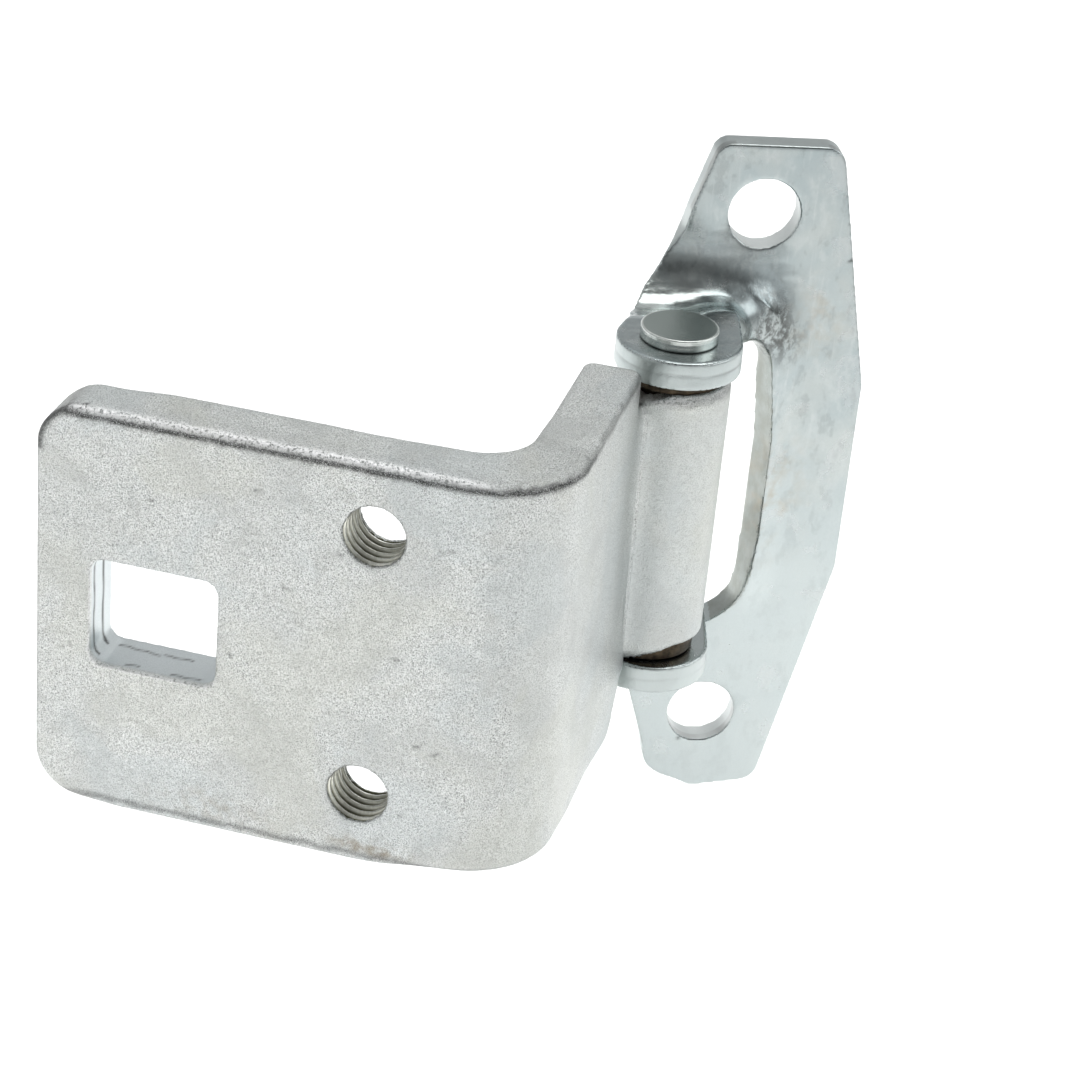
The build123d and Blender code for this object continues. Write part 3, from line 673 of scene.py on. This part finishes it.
def make_thread(name, z0):
    """Wall of a tapped hole: a 60 degree thread of 1.5 mm pitch."""
    pitch, n_t, per = 1.5, 96, 15
    y0, y1 = PLATE_Y + 0.45, PLATE_Y + LEAF_T - 0.45
    rows = int((y1 - y0) / pitch * per)
    ys = np.linspace(y0, y1, rows + 1)
    th = np.linspace(0, 2 * math.pi, n_t, endpoint=False)
    Y, T = np.meshgrid(ys, th, indexing="ij")
    ph = (Y / pitch + T / (2 * math.pi)) % 1.0
    tri = np.abs(ph * 2 - 1)                           # 1 on the crest, 0 in the root
    crest = np.clip((tri - 0.12) / (0.86 - 0.12), 0, 1)
    R = (THREAD_R + 0.80) - crest * 0.83
    fade = np.minimum(step(Y, y0 - 0.1, y0 + 0.5), 1.0)
    R = R + (1 - fade) * (THREAD_R + 0.32 - R)
    fade2 = 1 - step(Y, y1 - 0.5, y1 + 0.1)
    R = R + (1 - fade2) * (THREAD_R + 0.25 - R)
    pts = np.stack([THREAD_S + R * np.cos(T), Y, z0 + R * np.sin(T)], -1).reshape(-1, 3)
    jit = 0.012 * noise(pts, 0.5, 5)
    pts[:, 0] += jit * np.cos(T).ravel()
    pts[:, 2] += jit * np.sin(T).ravel()
    faces = []
    for i in range(rows):
        for j in range(n_t):
            a, b = i * n_t + j, i * n_t + (j + 1) % n_t
            faces.append((a, a + n_t, b + n_t, b))
    # the sleeve has a back, 0.2 mm further out, so that it is a closed solid
    base = len(pts)
    back = pts.copy().reshape(rows + 1, n_t, 3)
    back[..., 0] = THREAD_S + (THREAD_R + 1.0) * np.cos(T)
    back[..., 2] = z0 + (THREAD_R + 1.0) * np.sin(T)
    allp = np.concatenate([pts, back[[0, -1]].reshape(-1, 3)])
    for j in range(n_t):
        j2 = (j + 1) % n_t
        b0, b1 = base + j, base + j2
        t0, t1 = base + n_t + j, base + n_t + j2
        faces.append((b0, b1, t1, t0))
        faces.append((j, j2, b1, b0))
        e = rows * n_t
        faces.append((e + j2, e + j, t0, t1))
    ob = new_object(name, to_row(allp, LEAF_YAW), faces)
    bm = bmesh.new()
    bm.from_mesh(ob.data)
    bmesh.ops.recalc_face_normals(bm, faces=bm.faces)
    bm.to_mesh(ob.data)
    bm.free()
    # the crest value also sets the painted shade and highlight in the colour
    paint(ob, "crest", np.concatenate([crest.ravel(), np.zeros(2 * n_t)]))
    return dress(ob, "thread", "leaf", "leaf_zinc")


# ---------------------------------------------------------------------------
# pillar bracket
# ---------------------------------------------------------------------------
def make_bracket():
    ob = remesh(working_copy("pillar_bracket", "pillar_bracket_visual"), 0.30, 3)
    p = to_local(coords(ob))
    n = normals(ob)
    s, y, z = p[:, 0], p[:, 1], p[:, 2]
    hole = np.hypot(s + PIN[0], z - 43.95)
    # the root of the upper ear sits lower than its end, in a shallow hollow
    w = (1 - step(z, 39.0, 45.0)) * step(z, 24.0, 27.0) \
        * (1 - step(s, 12.0, 19.0)) * step(hole, 6.0, 9.0)
    p[:, 2] -= w * np.interp(y - 3.2 * step(s, 2.5, 8.0), [6.3, 7.5, 9, 11, 13, 14.5, 16, 17.5, 19, 21.5],
                             [0.0, 0.12, 0.55, 1.30, 1.85, 2.05, 2.0, 1.75, 1.45, 1.25])
    p[:, 0] -= 2.1 * np.exp(-((z - 32.6) / 3.9) ** 2) * step(y, 9.5, 13.5) * (1 - step(s, -2.0, 6.0)) \
        * step(hole, 6.0, 9.0)
    # the tail's corner is rounder than the sheet's plain outline
    tail = 1.3 * np.exp(-((s + PIN[0] + 5.7) / 4.2) ** 2 - ((z + 54.3) / 3.4) ** 2)
    p[:, 0] -= 0.5 * tail
    p[:, 2] -= 0.80 * tail
    put(ob, to_row(p))
    # and runs into the drawn corner without a kink
    edge_d = np.minimum(hole - 5.5, 9)
    soft = step(s, 4.0, 9.5) * (1 - step(s, 23.0, 27.5)) * step(z, 16.0, 24.0) \
        * (1 - step(z, 40.0, 44.0)) * step(y, 9.0, 12.5) * step(edge_d, 0.3, 2.0)
    relax(ob, soft, 70)
    p = to_local(coords(ob))
    n = normals(ob)
    s, y, z = p[:, 0], p[:, 1], p[:, 2]
    # sheet's own slight unevenness
    lump = 0.03 * fbm(p, 14.0, 2, 31)
    # the cut face of each ear has a sheared and a torn band
    cut = np.zeros(len(s))
    band = np.zeros(len(s))
    for top, strength in ((EAR_UP_TOP, 1.0), (EAR_LO_TOP, 0.25)):
        t = top - z
        on_ear = (t > -0.3) & (t < SHEET + 0.3) & (y < 14) & (np.abs(n[:, 2]) < 0.75)
        cut = np.where(on_ear, 1.0, cut)
        wave = 2.1 + 0.22 * noise(p, 3.0, 41)
        broken = strength * np.clip(0.55 + 0.9 * noise(p, 2.5, 47), 0.1, 1)
        band = np.where(on_ear, broken * np.exp(-((t - wave) / 0.18) ** 2), band)
        lump = lump + np.where(on_ear, -0.05 * strength * np.exp(-((t - wave) / 0.3) ** 2), 0)
        lump = lump + np.where(on_ear & (t > wave), 0.03 + 0.03 * noise(p, 0.8, 43), 0)
    rim = (np.abs(n[:, 1]) < 0.6) & (y > 20.5) & (np.abs(n[:, 2]) < 1.1)
    cut = np.where(rim, 1.0, cut)
    # metal pushed up beside the drawn corner, and a narrower ridge beside it
    du, dv = (s - 17.0) * 0.72 + (z - 29.0) * 0.69, -(s - 17.0) * 0.69 + (z - 29.0) * 0.72
    near = (y > 9) & (n[:, 1] < 0.2)
    lump = lump + near * (1.0 * np.exp(-(du / 2.4) ** 2 - (dv / 4.2) ** 2)
                          + 0.30 * np.exp(-((du - 0.3) / 0.45) ** 2 - ((dv - 1.2) / 2.2) ** 2))
    # fine draw marks in the upper fold, running along it
    fold = step(y, 9.0, 12.0) * (z > EAR_UP_TOP - 2) * (z < 46) * (n[:, 2] > 0.05)
    lump = lump + fold * (0.030 * noise(p, 1.0, 51, (9, 1, 1)) + 0.012 * noise(p, 0.8, 53, (5, 1, 1)))
    p = p + n * lump[:, None]
    put(ob, to_row(p))

    # the corner drawn by the fold: crinkled creases, darkened with painted shade except beside the free edge
    turn_s, turn_z = (s - 17.9) * 0.75 + (z - 26.6) * 0.66, -(s - 17.9) * 0.66 + (z - 26.6) * 0.75
    spread = np.clip(1.6 - np.hypot(turn_s / 3.1, turn_z / 6.0), 0, 1)
    spread = spread * (1 - 0.95 * np.exp(-((s - 14.0) / 1.9) ** 2 - ((z - 29.6) / 2.4) ** 2))
    crinkle_and_shade = spread * (n[:, 1] < 0.3) * (y < 23.5)
    lines = noise(p, 1.1, 71, (1.0, 1.0, 4.0)) * 0.6 + noise(p, 0.5, 73, (1.0, 1.0, 5.0)) * 0.4
    stain = (np.exp(-(((s - 22) / 5) ** 2 + ((z + 3) / 9) ** 2))
             + 0.8 * np.exp(-(((s - 26) / 4) ** 2 + ((z - 27) / 7) ** 2))) * (n[:, 1] < 0)
    dark = 0.9 * np.exp(-((s - 12.3) ** 2 + (z + 49.2) ** 2) / 0.12) * (n[:, 1] < -0.5)
    dark = np.maximum(dark, 0.9 * np.exp(-(((z - 36.9 - 0.4 * (s - 30.0)) / 0.28) ** 2))
                      * step(s, 28.9, 29.8) * (np.abs(z - 36.9) < 3))
    spine = (s > 15) & (n[:, 0] < -0.3) & (z > -28) & (z < 26)
    paint(ob, "spine", spine * (y < 26))
    # the sheet's outline: painted shade, a thin dark line on its sheared, rounded corners
    side_n = np.abs(n[:, 1])
    outline = (y < Y_FRONT + 1.6) & (y > Y_FRONT - 0.8) & (np.abs(n[:, 2]) + np.abs(n[:, 0]) > 0.5) \
        & (hole > 7.5) & ((s > 24) | (z < -30) | ((z > 44) & (s < 10)))
    outline_shade = np.where(outline, step(side_n, 0.95, 0.55) * (0.6 + 0.4 * noise(p, 1.5, 83)), 0)
    paint(ob, "outline_shade", np.clip(outline_shade, 0, 1))
    paint(ob, "lines", lines)
    paint(ob, "cut", cut)
    paint(ob, "band", band)
    paint(ob, "crinkle_and_shade", crinkle_and_shade)
    paint(ob, "stain", np.clip(stain, 0, 1) * 0.6)
    # painted sheen in the bores of both holes
    lower_hole = np.hypot(s + PIN[0], z + 43.95)
    shine = 0.30 * ((np.minimum(hole, lower_hole) < 5.8) & (side_n < 0.6))
    paint(ob, "shine", shine)
    paint(ob, "dark", dark)
    return dress(ob, "bracket", "bracket", "bracket_zinc", "pillar_bracket")


# ---------------------------------------------------------------------------
# turned pieces
# ---------------------------------------------------------------------------
def revolve(name, profile, segments=128):
    """profile: closed loop of (r, z) in mm about the pin axis."""
    prof = np.array(profile, float)
    th = np.linspace(0, 2 * math.pi, segments, endpoint=False)
    pts, rings = [], []
    for r, z in prof:
        if r < 1e-6:
            rings.append([len(pts)] * segments)
            pts.append((0, 0, z))
        else:
            rings.append(list(range(len(pts), len(pts) + segments)))
            pts.extend((r * math.cos(a), r * math.sin(a), z) for a in th)
    faces = []
    count = len(prof)
    closed = prof[0][0] > 1e-6
    for i in range(count if closed else count - 1):
        a, b = rings[i], rings[(i + 1) % count]
        for j in range(segments):
            k = (j + 1) % segments
            f = [a[j], a[k], b[k], b[j]]
            f = [v for q, v in enumerate(f) if v not in f[:q]]
            if len(f) > 2:
                faces.append(f)
    pts = np.array(pts, float)
    ob = new_object(name, to_row(pts), faces)
    bm = bmesh.new()
    bm.from_mesh(ob.data)
    bmesh.ops.recalc_face_normals(bm, faces=bm.faces)
    bm.to_mesh(ob.data)
    bm.free()
    ob.data.shade_smooth()
    return ob, pts


def arc(cx, cz, r, a0, a1, n):
    return [(cx + r * math.cos(math.radians(a0 + (a1 - a0) * i / n)),
             cz + r * math.sin(math.radians(a0 + (a1 - a0) * i / n))) for i in range(n + 1)]


def make_pin():
    top, bot, under = 35.1, -23.2, EAR_LO_TOP - SHEET
    prof = [(0.0, top - 0.05)]
    prof += [(r, top - 0.05 + 0.05 * (r / 5.0) ** 4 + 0.004 * math.sin(r * 18))
             for r in np.linspace(0.4, 5.4, 36)]
    prof += arc(5.75 - 0.24, top - 0.24, 0.24, 80, 0, 8)
    prof += [(5.75, z) for z in np.linspace(top - 0.5, EAR_UP_TOP + 0.35, 10)]
    prof += arc(5.75 - 0.25, EAR_UP_TOP + 0.25, 0.25, 0, -80, 5)
    prof += [(4.0, EAR_UP_TOP + 0.0)]
    prof += [(4.0, z) for z in np.linspace(EAR_UP_TOP - 0.2, under + 0.2, 60)]
    prof += [(4.0, under), (4.9, under - 0.02)]
    prof += arc(5.2 - 0.6, under - 0.62, 0.6, 60, 0, 4)
    prof += arc(5.2 - 0.7, bot + 0.75, 0.7, 0, -80, 6)
    prof += [(3.6, bot + 0.02), (2.2, bot + 0.0), (1.7, bot + 0.35), (0.8, bot + 0.6),
             (0.0, bot + 0.65)]
    ob, pts = revolve("hinge_pin_visual", prof, 160)
    r = np.hypot(pts[:, 0], pts[:, 1])
    z = pts[:, 2]
    paint(ob, "turned", np.where(z > 34.5, 0.5 + 0.5 * np.sin(r * 15.0), 0.5 + 0.5 * np.sin(z * 9)))
    # painted shade: a dark ring under the head where it sits on the ear, and the shank a little darker below 30 mm
    paint(ob, "dark", (1 - step(z, EAR_UP_TOP + 0.05, EAR_UP_TOP + 0.45)) * (z > 32.6)
          + 0.35 * (z < 30))
    ang = np.arctan2(pts[:, 1], pts[:, 0])
    flank = (r > 5.6) & (z > EAR_UP_TOP)
    streak = 0.5 + 0.5 * np.sin(ang * 7 + 0.8 * np.sin(ang * 17)) * np.cos(ang * 3 + 1.0)
    paint(ob, "top", np.where(flank, 0.55 * streak, 0.95 * (1 - step(r, 5.3, 5.6)) * (z > 34.8)))
    return dress(ob, "pin", "bracket", "pin_steel", "hinge_pin")


def make_bush(name, node, up):
    """Flanged bush; `up` for the one under the upper ear."""
    if up:
        f0, f1 = SEAT_TOP, SEAT_TOP + 1.3
        end = SEAT_TOP - 13.0
        prof = [(4.04 + 0.25, f1)] + [(7.3 - 0.25, f1)] + arc(7.3 - 0.25, f1 - 0.25, 0.25, 90, 0, 4)
        prof += arc(7.3 - 0.2, f0 + 0.2, 0.2, 0, -90, 3) + [(5.25, f0), (5.0, f0 - 0.25)]
        prof += [(5.0, end + 0.3), (4.7, end), (4.3, end), (4.04, end + 0.3), (4.04, f1 - 0.25)]
    else:
        f0, f1 = SEAT_BOT, SEAT_BOT - 2.8
        end = SEAT_BOT + 13.0
        prof = [(4.04 + 0.25, f1)] + [(7.3 - 0.25, f1)] + arc(7.3 - 0.25, f1 + 0.25, 0.25, -90, 0, 4)
        prof += arc(7.3 - 0.2, f0 - 0.2, 0.2, 0, 90, 3) + [(5.25, f0), (5.0, f0 + 0.25)]
        prof += [(5.0, end - 0.3), (4.7, end), (4.3, end), (4.04, end - 0.3), (4.04, f1 + 0.25)]
    ob, pts = revolve(name, prof, 112)
    return dress(ob, "bush", "leaf", "bush_bronze", node)


leaf = make_leaf()
make_thread("door_leaf_thread_upper", THREAD_MID + THREAD_DZ)
make_thread("door_leaf_thread_lower", THREAD_MID - THREAD_DZ)
bracket = make_bracket()
make_pin()
make_bush("upper_bush_visual", "upper_bush", True)
make_bush("lower_bush_visual", "lower_bush", False)

# ---------------------------------------------------------------------------
# floor, light and camera
# ---------------------------------------------------------------------------
floor_z = cad_lo.z - 0.025
bm = bmesh.new()
bmesh.ops.create_grid(bm, x_segments=2, y_segments=2, size=3.0)
me = bpy.data.meshes.new("floor")
bm.to_mesh(me)
bm.free()
floor = link(bpy.data.objects.new("floor", me))
floor.location = (0, 0, floor_z)
ft = Tree("floor_paper")
grey = ft.ramp(ft.noise(ft.vec(), 0.02, 2.0, 0.5), [(0.3, 0.86), (0.7, 0.88)])
ft.surface(grey, 0.9, 0.0, None, Specular_IOR_Level=0.1)
me.materials.append(ft.mat)

world = bpy.data.worlds.new("studio")
scene.world = world
world.use_nodes = True
wt = world.node_tree
wt.nodes.clear()
w_out = wt.nodes.new("ShaderNodeOutputWorld")
w_bg = wt.nodes.new("ShaderNodeBackground")
w_dir = wt.nodes.new("ShaderNodeTexCoord").outputs["Generated"]
w_xyz = wt.nodes.new("ShaderNodeSeparateXYZ")
wt.links.new(w_dir, w_xyz.inputs[0])


def sky(stops):
    """Brightness of one side of the room, by elevation in degrees."""
    node = wt.nodes.new("ShaderNodeValToRGB")
    els = node.color_ramp.elements
    while len(els) < len(stops):
        els.new(0.5)
    for e, (deg, val) in zip(els, stops):
        e.position = 0.5 + 0.5 * math.sin(math.radians(deg))
        e.color = (val * 0.985, val, val * 1.01, 1)
    half = wt.nodes.new("ShaderNodeMath")
    half.operation = "MULTIPLY_ADD"
    half.inputs[1].default_value = 0.5
    half.inputs[2].default_value = 0.5
    wt.links.new(w_xyz.outputs["Z"], half.inputs[0])
    wt.links.new(half.outputs[0], node.inputs[0])
    return node.outputs[0]


def turn_mix(axis, lo, hi, a, b):
    f = wt.nodes.new("ShaderNodeMapRange")
    f.interpolation_type = "SMOOTHSTEP"
    wt.links.new(w_xyz.outputs[axis] if isinstance(axis, str) else axis, f.inputs[0])
    f.inputs[1].default_value, f.inputs[2].default_value = lo, hi
    mx = wt.nodes.new("ShaderNodeMix")
    mx.data_type = "RGBA"
    wt.links.new(f.outputs[0], mx.inputs[0])
    wt.links.new(a, mx.inputs[6])
    wt.links.new(b, mx.inputs[7])
    return mx.outputs[2]


front = sky([(-90, 0.88), (-4, 0.86), (10, 0.56), (20, 0.34), (32, 0.19), (46, 0.10), (60, 0.07),
             (90, 0.07)])
rear = sky([(-90, 0.88), (8, 0.72), (18, 0.50), (27, 0.43), (36, 0.45), (46, 0.70), (58, 0.70),
            (68, 0.35), (90, 0.09)])
left = sky([(-90, 0.88), (0, 0.62), (25, 0.48), (48, 0.60), (62, 0.60), (74, 0.3), (90, 0.09)])
rightside = sky([(-90, 0.8), (-12, 0.72), (0, 0.40), (7, 0.45), (15, 1.5), (38, 1.7), (48, 0.6),
                 (60, 0.15), (90, 0.09)])
sides = turn_mix("X", -0.35, 0.45, left, rightside)
fronts = turn_mix("Y", -0.72, -0.25, front, sides)
allsky = turn_mix("Y", 0.15, 0.62, fronts, rear)
# a soft box hangs above and a little behind the hinge
box = wt.nodes.new("ShaderNodeRGB")
box.outputs[0].default_value = (2.7, 2.72, 2.7, 1)
aim = wt.nodes.new("ShaderNodeVectorMath")
aim.operation = "DOT_PRODUCT"
wt.links.new(w_dir, aim.inputs[0])
aim.inputs[1].default_value = (0.20, 0.208, 0.978)
allsky = turn_mix(aim.outputs["Value"], 0.945, 0.985, allsky, box.outputs[0])
wt.links.new(allsky, w_bg.inputs[0])
w_bg.inputs[1].default_value = 1.0
wt.links.new(w_bg.outputs[0], w_out.inputs[0])


def area(name, loc, target, size, power, size_y=None, mirrored=True):
    d = bpy.data.lights.new(name, "AREA")
    d.shape = "RECTANGLE"
    d.size = size
    d.size_y = size_y or size
    d.energy = power
    o = link(bpy.data.objects.new(name, d))
    o.location = loc
    o.rotation_mode = "QUATERNION"
    o.rotation_quaternion = (Vector(target) - Vector(loc)).to_track_quat("-Z", "Y")
    o.visible_glossy = mirrored
    return o


# two soft boxes over the floor; the metal shows the room and the floor, not them
area("overhead", (-0.03, -0.02, 0.46), (-0.03, -0.04, -0.08), 0.60, 2.35, 0.50, mirrored=False)
area("rear", (-0.05, 0.55, 0.50), (-0.05, 0.45, -0.08), 0.80, 3.3, 0.5, mirrored=False)

b, e, r = math.radians(9.1461), math.radians(27.9789), math.radians(5.486)
back = Vector((0, -math.cos(e), math.sin(e)))
right = Vector((1, 0, 0))
up = back.cross(right)
cam_x = math.cos(r) * right + math.sin(r) * up
cam_y = -math.sin(r) * right + math.cos(r) * up
rot = Matrix.Rotation(-b, 3, "Z")
axes = [rot @ a for a in (cam_x, cam_y, back)]
place = rot @ Vector((-17.265, -393.057, 206.709)) + Vector((-15.45, -26.6, 0.0))
cam = bpy.data.cameras.new("camera")
cam.sensor_width = 36.0
cam.lens = 2955.5 / 1080.0 * 36.0
cam.clip_start, cam.clip_end = 0.02, 20.0
cam_ob = link(bpy.data.objects.new("camera", cam))
cam_ob.matrix_world = Matrix((
    (axes[0].x, axes[1].x, axes[2].x, place.x / 1000),
    (axes[0].y, axes[1].y, axes[2].y, place.y / 1000),
    (axes[0].z, axes[1].z, axes[2].z, place.z / 1000),
    (0, 0, 0, 1)))
scene.camera = cam_ob
scene.view_settings.view_transform = "Standard"
scene.view_settings.look = "None"
